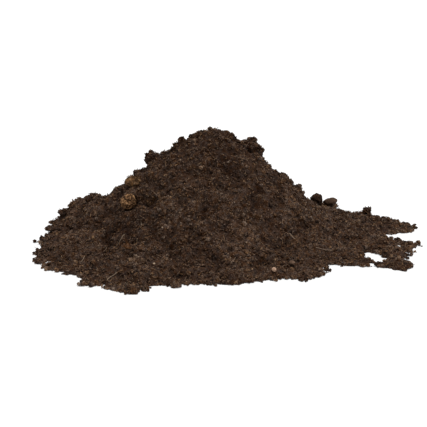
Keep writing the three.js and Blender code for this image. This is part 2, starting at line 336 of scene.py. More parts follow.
def grain_tree():
    """Grains on a surface: lumps of mixed sizes, each of its own shape, that leave some lumps clear."""
    tree, given, result = new_group(
        "Grains on soil", "GeometryNodeTree",
        {"Surface": "Geometry", "Density": "Float", "Smallest": "Float", "Largest": "Float", "Sink": "Float",
         "Lumps": "Object", "Clear": "Float", "Detail": "Int", "Roughness": "Float", "Seed": "Int",
         "Material": "Material"},
        {"Grains": "Geometry"})
    facing = add(tree, "ShaderNodeSeparateXYZ", {0: tree.nodes.new("GeometryNodeInputNormal").outputs[0]})
    topside = math_of(tree, "GREATER_THAN", facing.outputs["Z"], GRAIN_FACING)
    points = add(tree, "GeometryNodeDistributePointsOnFaces",
                 {"Mesh": given["Surface"], "Selection": topside, "Density": given["Density"],
                  "Seed": given["Seed"]})
    small_mostly = math_of(tree, "POWER", chance_of(tree, given["Seed"], 0), GRAIN_SKEW)
    size = add(tree, "ShaderNodeMapRange",
               {"Value": small_mostly, "To Min": given["Smallest"], "To Max": given["Largest"]})
    sized = stored(tree, points.outputs["Points"], "size", size.outputs["Result"], "POINT")
    tinted = stored(tree, sized, "tint", chance_of(tree, given["Seed"], 3), "POINT")
    own_size = own_value(tree, "size")
    lumps = add(tree, "GeometryNodeObjectInfo", {"Object": given["Lumps"]})
    near = add(tree, "GeometryNodeProximity", {0: lumps.outputs["Geometry"]}, target_element="FACES")
    room = math_of(tree, "MULTIPLY_ADD", own_size, GRAIN_ROOM, given["Clear"])
    crowding = math_of(tree, "LESS_THAN", near.outputs["Distance"], room)
    kept = add(tree, "GeometryNodeDeleteGeometry", {"Geometry": tinted, "Selection": crowding},
               domain="POINT")
    depth = math_of(tree, "MULTIPLY", own_size, math_of(tree, "MULTIPLY", given["Sink"], -1.0))
    seated = add(tree, "GeometryNodeSetPosition",
                 {"Geometry": kept.outputs["Geometry"],
                  "Offset": vector_of(tree, "SCALE", points.outputs["Normal"], depth)})
    tree.links.new(lumps_at(tree, seated.outputs["Geometry"], own_size, given, *GRAIN_STRETCH),
                   result["Grains"])
    return tree


def crumb_tree():
    """Crumbs at given points, each with its own size and tint."""
    tree, given, result = new_group(
        "Crumbs at points", "GeometryNodeTree",
        {"Points": "Geometry", "Detail": "Int", "Roughness": "Float", "Seed": "Int", "Material": "Material"},
        {"Crumbs": "Geometry"})
    points = add(tree, "GeometryNodeMeshToPoints", {"Mesh": given["Points"]})
    tree.links.new(lumps_at(tree, points.outputs["Points"], own_value(tree, "size"), given, *CRUMB_STRETCH),
                   result["Crumbs"])
    return tree


def root_tree():
    """Thin tubes along lines."""
    tree, given, result = new_group(
        "Roots along lines", "GeometryNodeTree",
        {"Lines": "Geometry", "Thickness": "Float", "Material": "Material"}, {"Roots": "Geometry"})
    paths = add(tree, "GeometryNodeMeshToCurve", {"Mesh": given["Lines"]})
    ring = add(tree, "GeometryNodeCurvePrimitiveCircle",
               {"Resolution": 3, "Radius": math_of(tree, "MULTIPLY", given["Thickness"], 0.5)})
    tubes = add(tree, "GeometryNodeCurveToMesh",
                {"Curve": paths.outputs["Curve"], "Profile Curve": ring.outputs["Curve"], "Fill Caps": True})
    whole = add(tree, "GeometryNodeRealizeInstances", {"Geometry": tubes.outputs["Mesh"]})
    painted = add(tree, "GeometryNodeSetMaterial",
                  {"Geometry": whole.outputs["Geometry"], "Material": given["Material"]})
    tree.links.new(painted.outputs["Geometry"], result["Roots"])
    return tree


def new_piece(name, mesh):
    obj = bpy.data.objects.new(name, mesh)
    scene.collection.objects.link(obj)
    return obj


def plain_mesh(obj):
    """The object's mesh as its modifiers leave it."""
    graph = bpy.context.evaluated_depsgraph_get()
    return bpy.data.meshes.new_from_object(obj.evaluated_get(graph))


def with_tree(obj, tree, values):
    """The object with the tree's result as its own mesh."""
    modifier = obj.modifiers.new("nodes", "NODES")
    modifier.node_group = tree
    for item in tree.interface.items_tree:
        if item.in_out == "INPUT" and item.name in values:
            modifier[item.identifier] = values[item.name]
    mesh = plain_mesh(obj)
    obj.modifiers.clear()
    obj.data = mesh
    return obj


def grains(name, surface, seed, material, density, smallest, largest, sink, detail, clear, roughness=0.55):
    return with_tree(new_piece(name, surface.copy()), GRAINS, {
        "Density": float(density), "Smallest": smallest, "Largest": largest, "Sink": sink,
        "Lumps": keep_clear, "Clear": clear, "Detail": detail, "Roughness": roughness, "Seed": seed,
        "Material": material})


def crumbs_at(name, places, sizes, tints, seed, material, detail=1, roughness=0.5):
    points = bpy.data.meshes.new(name)
    points.from_pydata(places, [], [])
    with_values(points, size=sizes, tint=tints)
    return with_tree(new_piece(name, points), CRUMBS,
                     {"Detail": detail, "Roughness": roughness, "Seed": seed, "Material": material})


def with_values(mesh, **values):
    """Keeps named numbers for the mesh's corners."""
    for name, numbers in values.items():
        mesh.attributes.new(name, "FLOAT", "POINT").data.foreach_set("value", np.array(numbers, np.float32))
    return mesh


def welded(node):
    """A copy of a solid's mesh with its corners joined."""
    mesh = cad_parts[node].data.copy()
    form = bmesh.new()
    form.from_mesh(mesh)
    bmesh.ops.remove_doubles(form, verts=form.verts, dist=WELD)
    form.to_mesh(mesh)
    form.free()
    mesh.materials.clear()
    return mesh


def joined(*meshes):
    form = bmesh.new()
    for mesh in meshes:
        form.from_mesh(mesh)
    whole = bpy.data.meshes.new("joined")
    form.to_mesh(whole)
    form.free()
    return whole


def fused(mesh, voxel):
    """One closed skin round everything in the mesh."""
    obj = new_piece("fusing", mesh)
    modifier = obj.modifiers.new("fuse", "REMESH")
    modifier.mode = "VOXEL"
    modifier.voxel_size = voxel
    skin = plain_mesh(obj)
    bpy.data.objects.remove(obj)
    return skin


def corners_of(mesh):
    places = np.empty(len(mesh.vertices) * 3)
    mesh.vertices.foreach_get("co", places)
    return places.reshape(-1, 3)


def normals_of(mesh):
    normals = np.empty(len(mesh.vertices) * 3, np.float32)
    mesh.vertex_normals.foreach_get("vector", normals)
    return normals.reshape(-1, 3).astype(float)


def place_corners(mesh, places):
    mesh.vertices.foreach_set("co", places.astype(np.float32).ravel())
    mesh.update()


def above_floor(obj):
    places = corners_of(obj.data)
    places[:, 2] = np.maximum(places[:, 2], 0)
    place_corners(obj.data, places)
    return obj


def relief(places, layers):
    """Height over a list of places: layers of rounded crumbs with creases between them, and even noise."""
    heights = np.zeros(len(places))
    for cell, height in layers:
        heights += height * np.array([0.5 - noise.voronoi(Vector(p) / cell)[0][0]
                                      + 0.5 * noise.noise(Vector(p) / (1.7 * cell)) for p in places])
    return heights


def roughened(mesh, layers, drawn_in=0.0, from_height=0.0):
    """Gives a mesh its relief, drawn in the more the higher it is, with its underside left flat."""
    places, normals = corners_of(mesh), normals_of(mesh)
    share = np.clip(places[:, 2] / from_height, 0, 1) if from_height else 1.0
    heights = relief(places, layers) - drawn_in * share
    on_floor = (normals[:, 2] < -0.5) & (places[:, 2] < UNDERSIDE_HEIGHT)
    heights[on_floor] = 0
    places = places + normals * heights[:, None]
    places[on_floor, 2] = 0
    places[:, 2] = np.maximum(places[:, 2], 0)
    place_corners(mesh, places)
    return mesh


def tree_of(mesh):
    return BVHTree.FromPolygons([v.co for v in mesh.vertices], [p.vertices for p in mesh.polygons])


def creases(places):
    """How deep the creases between the clods of the apron are."""
    x, y, reach = CREASED
    away = np.hypot(places[:, 0] - x, places[:, 1] - y) / reach
    near = np.array([noise.voronoi(Vector(p) / CLOD_WIDTH)[0][:2] for p in places])
    crease = 1 - np.clip((near[:, 1] - near[:, 0]) / CREASE_WIDTH, 0, 1)
    fade = np.clip(CREASE_FADE * (1 - away ** 2), 0, 1)
    return np.minimum(CREASE_DEPTH * crease * fade, CREASE_MOST * places[:, 2])


def lowered(mesh):
    """Lowers the soil in its dips and creases, and its toe in patches, but not under what lies on it."""
    places = corners_of(mesh)
    under = places[:, 2] < 1e-6
    drop = np.zeros(len(places))
    for x, y, radius, depth in DIPS:
        away = np.hypot(places[:, 0] - x * MM, places[:, 1] - y * MM) / (radius * MM)
        drop += depth * MM * np.clip(1 - away ** 2, 0, 1)
    drop += creases(places)
    for number in np.flatnonzero(places[:, 2] < BITE_HEIGHT):
        x, y, z = places[number]
        patch = min(1, max(0, BITE_SHARPNESS * noise.noise(Vector((x, y, 0)) / BITE_WIDTH)))
        drop[number] += BITE_DEPTH * patch * (1 - z / BITE_HEIGHT)
    for number in np.flatnonzero(drop > 0):
        away = lump_tree.find_nearest(Vector(places[number]))[3]
        drop[number] *= np.interp(away, BITE_CLEAR, (0, 1))
    places[:, 2] -= np.where(under, UNDERSIDE_DEPTH, drop)
    place_corners(mesh, places)


def hollow_map(mesh):
    """How deep the surface lies below what is round it, from above, in cells of a grid."""
    places = corners_of(mesh)
    cells = hollow_cells(places)
    surface = np.zeros((HOLLOW_SIDE, HOLLOW_SIDE))
    np.maximum.at(surface, (cells[:, 0], cells[:, 1]), places[:, 2])
    furthest = math.ceil(3 * HOLLOW_WIDTH / HOLLOW_CELL)
    reach = np.arange(-furthest, furthest + 1)
    weights = np.exp(-0.5 * (reach * HOLLOW_CELL / HOLLOW_WIDTH) ** 2)
    level = surface
    for axis in (0, 1):
        level = np.apply_along_axis(np.convolve, axis, level, weights / weights.sum(), mode="same")
    return np.clip((level - surface) / HOLLOW_DEPTH, 0, 1) * np.clip(surface / HOLLOW_FROM, 0, 1)


def hollow_cells(places):
    return np.clip((places[:, :2] / HOLLOW_CELL + HOLLOW_SIDE / 2).astype(int), 0, HOLLOW_SIDE - 1)


def with_hollows(mesh):
    """Keeps for each corner how far it lies in a hollow, which the finishes darken as painted shade."""
    cells = hollow_cells(corners_of(mesh))
    return with_values(mesh, hollow=HOLLOW_SHADE[cells[:, 0], cells[:, 1]])


def islands_of(form):
    """The corners of each part that hangs together, the largest part first."""
    left, islands = set(form.verts), []
    while left:
        island, edge = set(), {left.pop()}
        while edge:
            island |= edge
            edge = {e.other_vert(v) for v in edge for e in v.link_edges} - island
        left -= island
        islands.append(island)
    return sorted(islands, key=len, reverse=True)


def flat_base(mesh):
    """Cuts the soil off at the floor, leaves out what lies apart and closes the underside with few faces."""
    form = bmesh.new()
    form.from_mesh(mesh)
    bmesh.ops.bisect_plane(form, geom=form.verts[:] + form.edges[:] + form.faces[:], plane_no=(0, 0, 1),
                           clear_inner=True)
    apart = [v for island in islands_of(form)[1:] for v in island]
    bmesh.ops.delete(form, geom=apart, context="VERTS")
    edges = [e for e in form.edges if e.is_boundary]
    bmesh.ops.triangle_fill(form, edges=edges, use_beauty=True, normal=(0, 0, -1))
    bmesh.ops.recalc_face_normals(form, faces=form.faces)
    form.to_mesh(mesh)
    form.free()


def face_corners(mesh):
    """Which corner of the mesh each corner of its faces is."""
    numbers = np.empty(len(mesh.loops), np.int32)
    mesh.loops.foreach_get("vertex_index", numbers)
    return numbers


def lay_out(mesh, spots):
    """Gives the mesh its map for baked colours, from a spot for each corner of its faces."""
    layer = mesh.uv_layers.new(name=BAKE_MAP, do_init=False)
    layer.uv.foreach_set("vector", spots.astype(np.float32).ravel())


def in_squares(spots, count):
    """Spots within unit squares, moved to a square of its own for each thing."""
    side = math.ceil(math.sqrt(count))
    number = np.arange(count)
    square = np.stack([number % side, number // side], 1)[:, None, :]
    return ((SQUARE_MARGIN + SQUARE_WIDTH * spots + square) / side).reshape(-1, 2)


def lay_out_crumbs(obj):
    """Each crumb in a square of its own, opened out from above."""
    away = corners_of(obj.data).reshape(-1, CRUMB_CORNERS, 3)
    away = away - away.mean(1, keepdims=True)
    away /= np.maximum(np.abs(away).sum(2, keepdims=True), 1e-9)
    flat = away[..., :2]
    folded = (1 - np.abs(flat[..., ::-1])) * np.where(flat < 0, -1, 1)
    spots = np.where(away[..., 2:] < 0, folded, flat)
    lay_out(obj.data, in_squares((spots + 1) / 2, len(spots))[face_corners(obj.data)])
    return obj


def lay_out_tubes(obj, count):
    """Each root in a square of its own, its length up the square."""
    along = len(obj.data.vertices) // (3 * count)
    up, across = np.meshgrid(np.linspace(0, 1, along), np.linspace(0, 1, 3), indexing="ij")
    spots = np.broadcast_to(np.stack([across.ravel(), up.ravel()], 1), (count, along * 3, 2))
    lay_out(obj.data, in_squares(spots, count)[face_corners(obj.data)])
    return obj


def lay_out_heap(mesh):
    """The topside as it is seen from above, and the underside in a strip beside it."""
    places = corners_of(mesh)[face_corners(mesh)]
    sides = np.empty(len(mesh.polygons), np.int32)
    mesh.polygons.foreach_get("loop_total", sides)
    facing = np.empty(len(mesh.polygons) * 3, np.float32)
    mesh.polygon_normals.foreach_get("vector", facing)
    under = np.repeat(facing.reshape(-1, 3)[:, 2] < -0.95, sides) & (places[:, 2] < 0.1 * MM)
    flat = (places[:, :2] - places[:, :2].min(0)) / np.ptp(places[:, :2], axis=0)
    flat[:, 0] = np.where(under, STRIP_PLACE + STRIP_WIDTH * flat[:, 0], TOPSIDE_WIDTH * flat[:, 0])
    lay_out(mesh, flat)


def finish_piece(obj, slot, *nodes, smooth=True):
    """The piece on its body, with the solids that it stands for hidden; its slot is not used."""
    obj.data.polygons.foreach_set("use_smooth", [smooth] * len(obj.data.polygons))
    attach(obj, "root")
    if nodes:
        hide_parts(*nodes)
    return obj


def paint(obj, material):
    obj.data.materials.clear()
    obj.data.materials.append(material)
    return obj


def new_material(name, roughness):
    material = bpy.data.materials.new(name)
    material.use_nodes = True
    tree = material.node_tree
    shader = tree.nodes["Principled BSDF"]
    shader.inputs["Specular IOR Level"].default_value = GLOSS
    shader.inputs["Roughness"].default_value = roughness
    return material, tree, shader


def ramp(tree, factor, stops):
    node = add(tree, "ShaderNodeValToRGB", {"Fac": factor})
    for number, (at, colour) in enumerate(stops):
        stop = node.color_ramp.elements[number] if number < 2 else node.color_ramp.elements.new(at)
        stop.position = at
        stop.color = (*colour, 1)
    return node.outputs["Color"]


def place_of(tree):
    return add(tree, "ShaderNodeTexCoord").outputs["Object"]


def kept_value(tree, name):
    """What the mesh keeps under a name for each of its corners."""
    return add(tree, "ShaderNodeAttribute", attribute_name=name).outputs["Fac"]


def noise_of(tree, place, scale, detail=3.0):
    return add(tree, "ShaderNodeTexNoise", {"Vector": place, "Scale": scale, "Detail": detail}).outputs["Fac"]


def eased(tree, value, start, end, low, high):
    node = add(tree, "ShaderNodeMapRange", {"Value": value, "From Min": start, "From Max": end, "To Min": low,
                                            "To Max": high}, interpolation_type="SMOOTHSTEP")
    return node.outputs["Result"]


def bumped(tree, shader, height, strength, distance):
    bump = add(tree, "ShaderNodeBump", {"Height": height, "Strength": strength, "Distance": distance})
    tree.links.new(bump.outputs["Normal"], shader.inputs["Normal"])


def soil_tone_group():
    """Colour and fine height of soil: broad patches, clumps, grain and felted fibres, moved by a tint, with
    painted shade that darkens it towards the top and painted light that makes it a little lighter to the
    right.
    """
    tree, given, result = new_group("Soil tone", "ShaderNodeTree",
                                    {"Place": "Vector", "Tint": "Float", "Warmth": "Float"},
                                    {"Color": "Color", "Height": "Float"})
    place = given["Place"]
    patches = noise_of(tree, place, 28.0)
    clumps = noise_of(tree, place, 170.0)
    grain = noise_of(tree, place, 850.0)
    tone = math_of(tree, "MULTIPLY_ADD", patches, 0.45, given["Tint"])
    tone = math_of(tree, "MULTIPLY_ADD", clumps, 0.5, tone)
    tone = math_of(tree, "MULTIPLY_ADD", grain, 1.55, tone)
    off_line = math_of(tree, "ABSOLUTE", math_of(tree, "SUBTRACT", noise_of(tree, place, 330.0, 1.0), 0.5))
    felt = math_of(tree, "MULTIPLY", eased(tree, off_line, 0.008, 0.035, 0.2, 0.0),
                   eased(tree, noise_of(tree, place, 75.0, 1.0), 0.45, 0.6, 0.0, 1.0))
    tone = math_of(tree, "ADD", tone, felt)
    axis = add(tree, "ShaderNodeSeparateXYZ", {0: place}).outputs
    # Overall offset of the tone, with painted shade that darkens the soil towards the top, and painted light
    # that makes it a little lighter to the right
    tone_offset_and_top_shade = eased(tree, axis["Z"], 60 * MM, 115 * MM, -0.757, -0.9)
    painted_right_light = eased(tree, axis["X"], 60 * MM, 150 * MM, 0.0, 0.02)
    tone = math_of(tree, "ADD", tone, math_of(tree, "ADD", tone_offset_and_top_shade, painted_right_light))
    colour = ramp(tree, tone, [(0.12, (0.0138, 0.0058, 0.0028)), (1.0, (0.32, 0.215, 0.14)),
                               (0.3, (0.025, 0.013, 0.0079)), (0.5, (0.053, 0.0302, 0.0202)),
                               (0.75, (0.122, 0.075, 0.05))])
    warmth = math_of(tree, "MULTIPLY_ADD", given["Warmth"], 0.3, noise_of(tree, place, 240.0, 2.0))
    warm = add(tree, "ShaderNodeHueSaturation",
               {"Color": colour, "Saturation": eased(tree, warmth, 0.4, 0.9, 0.76, 1.3)})
    tree.links.new(warm.outputs["Color"], result["Color"])
    tree.links.new(grain, result["Height"])
    return tree


def scattered(tree, tint):
    """A second number for each crumb or fibre, from its tint."""
    return math_of(tree, "FRACT", math_of(tree, "MULTIPLY", tint, TINT_SCATTER))


def soil_material(name, base_tint=0.0, own_tints=False):
    """Soil, darkened in its hollows as painted shade and partly as darker soil that gathers there, and crumbs
    of it that each have a tint of their own.
    """
    material, tree, shader = new_material(name, 0.92)
    # Painted shade: the soil is darker where it lies in a hollow, partly also as darker soil gathered there
    tint = math_of(tree, "MULTIPLY_ADD", kept_value(tree, "hollow"), -0.2, base_tint)
    warmth = 0.5
    if own_tints:
        own = kept_value(tree, "tint")
        curve = add(tree, "ShaderNodeFloatCurve", {"Value": own})
        points = curve.mapping.curves[0].points
        points[0].location = (0, 0.2)
        points[1].location = (1, 0.9)
        for at, tall in ((0.3, 0.4), (0.8, 0.62), (0.95, 0.76)):
            points.new(at, tall)
        curve.mapping.update()
        tint = math_of(tree, "ADD", math_of(tree, "SUBTRACT", curve.outputs["Value"], 0.5), tint)
        warmth = scattered(tree, own)
    tone = add(tree, "ShaderNodeGroup", {"Place": place_of(tree), "Tint": tint, "Warmth": warmth},
               node_tree=SOIL_TONE)
    tree.links.new(tone.outputs["Color"], shader.inputs["Base Color"])
    bumped(tree, shader, tone.outputs["Height"], 0.7, 0.5 * MM)
    return material


def fibre_material(name, dark, middle, pale):
    """Fibres, each of its own tint between dark and pale, darkened in the soil's hollows as painted shade."""
    material, tree, shader = new_material(name, 0.7)
    own = kept_value(tree, "tint")
    tone = math_of(tree, "MULTIPLY_ADD", noise_of(tree, place_of(tree), 400.0, 2.0), 0.3, own)
    # Painted shade: fibres are darker where they lie in the soil's hollows
    tone = math_of(tree, "MULTIPLY_ADD", kept_value(tree, "hollow"), -0.4, tone)
    colour = ramp(tree, tone, [(0.15, dark), (1.0, pale), (0.6, middle)])
    warmth = scattered(tree, own)
    warm = add(tree, "ShaderNodeHueSaturation",
               {"Color": colour, "Saturation": eased(tree, warmth, 0.0, 1.0, 0.86, 1.2)})
    tree.links.new(warm.outputs["Color"], shader.inputs["Base Color"])
    return material


def grain_group():
    """Lengthwise grain of wood: streaks along a turned length."""
    tree, given, result = new_group("Wood grain", "ShaderNodeTree", {"Place": "Vector", "Turn": "Vector"},
                                    {"Streak": "Float"})
    along = add(tree, "ShaderNodeMapping", {"Vector": given["Place"], "Rotation": given["Turn"],
                                            "Scale": (0.16, 1.0, 1.0)})
    coarse = noise_of(tree, along.outputs["Vector"], 420.0)
    fine = noise_of(tree, along.outputs["Vector"], 1500.0)
    both = math_of(tree, "MULTIPLY_ADD", fine, 0.45, math_of(tree, "MULTIPLY", coarse, 0.55))
    tree.links.new(both, result["Streak"])
    return tree


def wood_material(name, turn, dark, pale):
    """Wood or bark whose grain runs turn degrees from the heap's width."""
    material, tree, shader = new_material(name, 0.75)
    grain = add(tree, "ShaderNodeGroup", {"Place": place_of(tree), "Turn": (0, 0, -math.radians(turn))},
                node_tree=WOOD_GRAIN)
    streak = grain.outputs["Streak"]
    tree.links.new(ramp(tree, streak, [(0.36, dark), (0.64, pale)]), shader.inputs["Base Color"])
    bumped(tree, shader, streak, 0.6, 0.5 * MM)
    return material


def nugget_material():
    """Corky bark: plates from dull brown to tan, dark in the cracks between them."""
    material, tree, shader = new_material("cracked bark", 0.85)
    place = place_of(tree)
    plates = noise_of(tree, place, 380.0, 3.0)
    grain = noise_of(tree, place, 1300.0)
    tone = math_of(tree, "MULTIPLY_ADD", grain, 0.8, plates)
    tone = math_of(tree, "MULTIPLY_ADD", kept_value(tree, "crack"), -0.2, tone)
    colour = ramp(tree, tone, [(0.62, (0.016, 0.0085, 0.005)), (1.12, (0.43, 0.24, 0.115)),
                               (0.8, (0.07, 0.035, 0.0165)), (0.95, (0.2, 0.105, 0.048))])
    tree.links.new(colour, shader.inputs["Base Color"])
    bumped(tree, shader, grain, 0.7, 0.6 * MM)
    return material


def peat_material():
    """Golden, felted peat."""
    material, tree, shader = new_material("golden peat", 0.85)
    place = place_of(tree)
    grain = noise_of(tree, place, 900.0)
    tone = math_of(tree, "MULTIPLY_ADD", grain, 0.7, noise_of(tree, place, 260.0, 2.0))
    colour = ramp(tree, tone, [(0.5, (0.03, 0.016, 0.0085)), (1.15, (0.29, 0.17, 0.085)),
                               (0.85, (0.11, 0.06, 0.03))])
    tree.links.new(colour, shader.inputs["Base Color"])
    bumped(tree, shader, grain, 0.7, 0.5 * MM)
    return material


def pebble_material():
    """Mottled tan stone."""
    material, tree, shader = new_material("tan pebble", 0.6)
    mottle = noise_of(tree, place_of(tree), 700.0)
    colour = ramp(tree, mottle, [(0.36, (0.33, 0.19, 0.12)), (0.62, (0.66, 0.46, 0.33))])
    tree.links.new(colour, shader.inputs["Base Color"])
    bumped(tree, shader, mottle, 0.4, 0.3 * MM)
    return material


def speck_material():
    """Pale specks: bits of mineral and bleached wood."""
    material, tree, shader = new_material("pale specks", 0.6)
    mottle = noise_of(tree, place_of(tree), 900.0, 2.0)
    tone = math_of(tree, "MULTIPLY_ADD", mottle, 0.3, kept_value(tree, "tint"))
    colour = ramp(tree, tone, [(0.15, (0.15, 0.088, 0.052)), (1.15, (0.6, 0.45, 0.31))])
    tree.links.new(colour, shader.inputs["Base Color"])
    return material


def seen_directly(tree, amount):
    """amount where a camera, a gloss or a clear surface looks straight at it, else 0."""
    path = add(tree, "ShaderNodeLightPath")
    either = math_of(tree, "MAXIMUM", path.outputs["Is Camera Ray"], path.outputs["Is Glossy Ray"])
    any_of = math_of(tree, "MAXIMUM", either, path.outputs["Is Transmission Ray"])
    return math_of(tree, "MULTIPLY", any_of, amount)


def floor_material():
    material = bpy.data.materials.new("white floor")
    material.use_nodes = True
    tree = material.node_tree
    tree.nodes.clear()
    mottle = noise_of(tree, place_of(tree), 3.0, 2.0)
    colour = ramp(tree, mottle, [(0.3, (0.79, 0.79, 0.79)), (0.7, (0.81, 0.81, 0.81))])
    matt = add(tree, "ShaderNodeBsdfDiffuse", {"Color": colour})
    white = add(tree, "ShaderNodeEmission", {"Strength": seen_directly(tree, 0.3)})
    both = add(tree, "ShaderNodeAddShader", {0: matt.outputs[0], 1: white.outputs[0]})
    add(tree, "ShaderNodeOutputMaterial", {"Surface": both.outputs[0]})
    return material


def rim_line(mesh):
    """Places along the edge of the underside, and the way out from each."""
    form = bmesh.new()
    form.from_mesh(mesh)
    places = []
    for edge in form.edges:
        under = [f for f in edge.link_faces if f.normal.z < -0.99]
        if len(under) != 1 or max(v.co.z for v in edge.verts) > ON_FLOOR:
            continue
        first, last = (v.co for v in edge.verts)
        along = last - first
        away = Vector((along.y, -along.x, 0))
        if away.dot(first - under[0].calc_center_median()) < 0:
            away.negate()
        steps = max(1, round(along.length / RIM_SPACING))
        for step in range(steps):
            at = first + along * ((step + 0.5) / steps)
            places.append((at.x, at.y, math.atan2(away.y, away.x)))
    form.free()
    return places


def beside_gaps(rim):
    """For each place of the rim, whether another part of it faces it from close by."""
    at, outward = np.array(rim)[:, :2], np.array(rim)[:, 2]
    way = at[None] - at[:, None]
    far = np.hypot(way[..., 0], way[..., 1])
    ahead = np.cos(np.arctan2(way[..., 1], way[..., 0]) - outward[:, None]) > GAP_AHEAD
    facing = np.cos(outward[:, None] - outward[None]) < GAP_FACING
    return (ahead & facing & (far < GAP_WIDTH) & (far > RIM_SPACING)).any(1)


def mostly_small(sizes, power):
    """A size between two, nearer to the smaller the higher the power."""
    return sizes[0] + (sizes[1] - sizes[0]) * chance.random() ** power


def toe_lumps(rim):
    """Places and sizes of lumps that stand in the edge of the toe."""
    places, sizes = [], []
    for (x, y, outward), narrow in zip(rim, beside_gaps(rim)):
        if chance.random() < TOE_LUMP_SHARE * (not narrow):
            size = mostly_small(TOE_LUMP, TOE_LUMP_SKEW)
            out = chance.uniform(*TOE_LUMP_OUT) * size
            places.append((x + out * math.cos(outward), y + out * math.sin(outward), TOE_LUMP_RISE * size))
            sizes.append(size)
    return places, sizes


def rim_strings(rim):
    """Places and sizes of crumbs that lie on the floor in strings, each touching the one before."""
    places, sizes = [], []
    for (x, y, outward), narrow in zip(rim, beside_gaps(rim)):
        if chance.random() > RIM_SHARE * (GAP_SHARE if narrow else 1):
            continue
        wide = 1 + RIM_PATCH_STRENGTH * noise.noise(Vector((x, y, 0)) / RIM_PATCH)
        wide = max(RIM_PATCH_LEAST, wide)
        reach, before = 0.0, 0.0
        bearing = outward + chance.normal(0, RIM_BEARING)
        for _ in range(1 + chance.poisson(max(0.2, RIM_STRING * wide - 1))):
            size = mostly_small(RIM_CRUMB, RIM_CRUMB_SKEW)
            step = RIM_CRUMB_STEP * (before + size) if before else RIM_FIRST_STEP * size
            reach += step
            if reach > RIM_REACH:
                break
            x, y = x + step * math.cos(bearing), y + step * math.sin(bearing)
            places.append((x, y, RIM_CRUMB_RISE * size))
            sizes.append(size)
            before = size
            bearing += chance.normal(0, RIM_TURN)
    return places, sizes


def clod(node, clump, material, slot):
    """A clod of soil: its solid with lumps of the clump's size fused to it."""
    form = welded(node)
    smallest, largest = (clump * share for share in CLOD_LUMPS)
    lumps = grains("lumps", form, SEED + 5, material, CLOD_DENSITY / clump ** 2, smallest, largest, CLOD_SINK,
                   detail=2, clear=NO_CLEARANCE)
    if node in CLOD_KNOBS:
        *place, size = np.array(CLOD_KNOBS[node]) * MM
        knob = crumbs_at("knob", [place], [size], [0], SEED + 8, material, detail=2)
        form = joined(form, knob.data)
        bpy.data.objects.remove(knob)
    skin = fused(joined(form, lumps.data), CLOD_VOXEL * clump)
    roughened(skin, [tuple(clump * share for share in CLOD_RELIEF)], CLOD_DRAWN_IN * clump)
    bpy.data.objects.remove(lumps)
    return finish_piece(above_floor(paint(new_piece(node + "_soil", skin), material)), slot, node)


def lump(node, material, slot, voxel, layers):
    """A lump that keeps its solid's form, with a little relief in layers of cell and height."""
    skin = roughened(fused(welded(node), voxel), layers)
    return finish_piece(above_floor(paint(new_piece(node + "_skin", skin), material)), slot, node)


def cracked(mesh):
    """Cuts cracks between plates of bark, and keeps for each corner how far it lies in one."""
    places, normals = corners_of(mesh), normals_of(mesh)
    near = np.array([noise.voronoi(Vector(p) / BARK_PLATE)[0][:2] for p in places])
    crack = 1 - np.clip((near[:, 1] - near[:, 0]) / CRACK_WIDTH, 0, 1)
    place_corners(mesh, places - normals * (CRACK_DEPTH * crack)[:, None])
    return with_values(mesh, crack=crack)


def starts_on(mesh, count):
    """Places on the upper side of a mesh, and the way each faces."""
    faces = len(mesh.polygons)
    middles, normals, areas = np.empty(faces * 3), np.empty(faces * 3, np.float32), np.empty(faces)
    mesh.polygons.foreach_get("center", middles)
    mesh.polygon_normals.foreach_get("vector", normals)
    mesh.polygons.foreach_get("area", areas)
    middles, normals = middles.reshape(-1, 3), normals.reshape(-1, 3).astype(float)
    weights = areas * (normals[:, 2] > ROOT_FACING)
    picks = chance.choice(faces, count, p=weights / weights.sum())
    return middles[picks], normals[picks]


def laid_down(line, above):
    """A line laid on the ground: it bridges the small hollows and lies a little above the rest."""
    levels = []
    for x, y in line:
        hit = ground_tree.ray_cast(Vector((x, y, ROOT_DROP_FROM)), Vector((0, 0, -1)))[0]
        if hit is None:
            return None
        levels.append(hit.z)
    level = np.array(levels)
    for _ in range(3):
        level[1:-1] = (level[:-2] + level[1:-1] * 2 + level[2:]) / 4
    return np.column_stack([line, np.maximum(level, np.array(levels) - ROOT_CUT) + above])


def lying_roots(count, length, steps):
    """Curved lines that lie along the soil."""
    lines = []
    for start in starts_on(ground, count)[0]:
        step = chance.uniform(*length) / steps
        heading = chance.uniform(0, math.tau)
        heading += np.cumsum(chance.normal(chance.normal(0, ROOT_TURN), ROOT_WANDER, steps))
        steps_taken = step * np.column_stack([np.cos(heading), np.sin(heading)])
        line = laid_down(start[:2] + np.vstack([(0, 0), np.cumsum(steps_taken, 0)]), ROOT_HEIGHT)
        if line is not None and np.abs(np.diff(line[:, 2])).max() < ROOT_STEEPEST * step:
            lines.append(line)
    return lines


def standing_roots(mesh, count, length, steps, lift, slope=None):
    """Short, bent ends that start on a mesh and rise from its faces, or from the slope they lie along."""
    starts, normals = starts_on(mesh, count)
    starts = starts - ROOT_SUNK * normals
    if slope:
        normals = np.array([slope.find_nearest(Vector(start))[1] for start in starts])
    across = np.cross(normals, chance.normal(size=(count, 3)))
    across /= np.linalg.norm(across, axis=1, keepdims=True) + 1e-9
    rise = chance.uniform(*lift, (count, 1))
    way = (across * (1 - rise) + normals * rise)[:, None]
    bend = chance.normal(0, ROOT_CURL, (count, 1, 3))
    t = np.linspace(0, 1, steps + 1)[None, :, None]
    lines = starts[:, None] + chance.uniform(*length, (count, 1, 1)) * (way * t + bend * t * t)
    lines[..., 2] = np.maximum(lines[..., 2], ROOT_LOWEST)
    return lines


def felted(lines):
    """Lines drawn near to the soil along their length, without those that cross what is not soil."""
    kept = []
    for line in lines:
        for number, place in enumerate(line):
            at, _, _, height = ground_tree.find_nearest(Vector(place))
            if height > FIBRE_HEIGHT:
                line[number] = np.array(at) + (place - np.array(at)) * (FIBRE_HEIGHT / height)
        if not any(clear_tree.find_nearest(Vector(place), FIBRE_CLEAR)[0] for place in line):
            kept.append(line)
    return kept


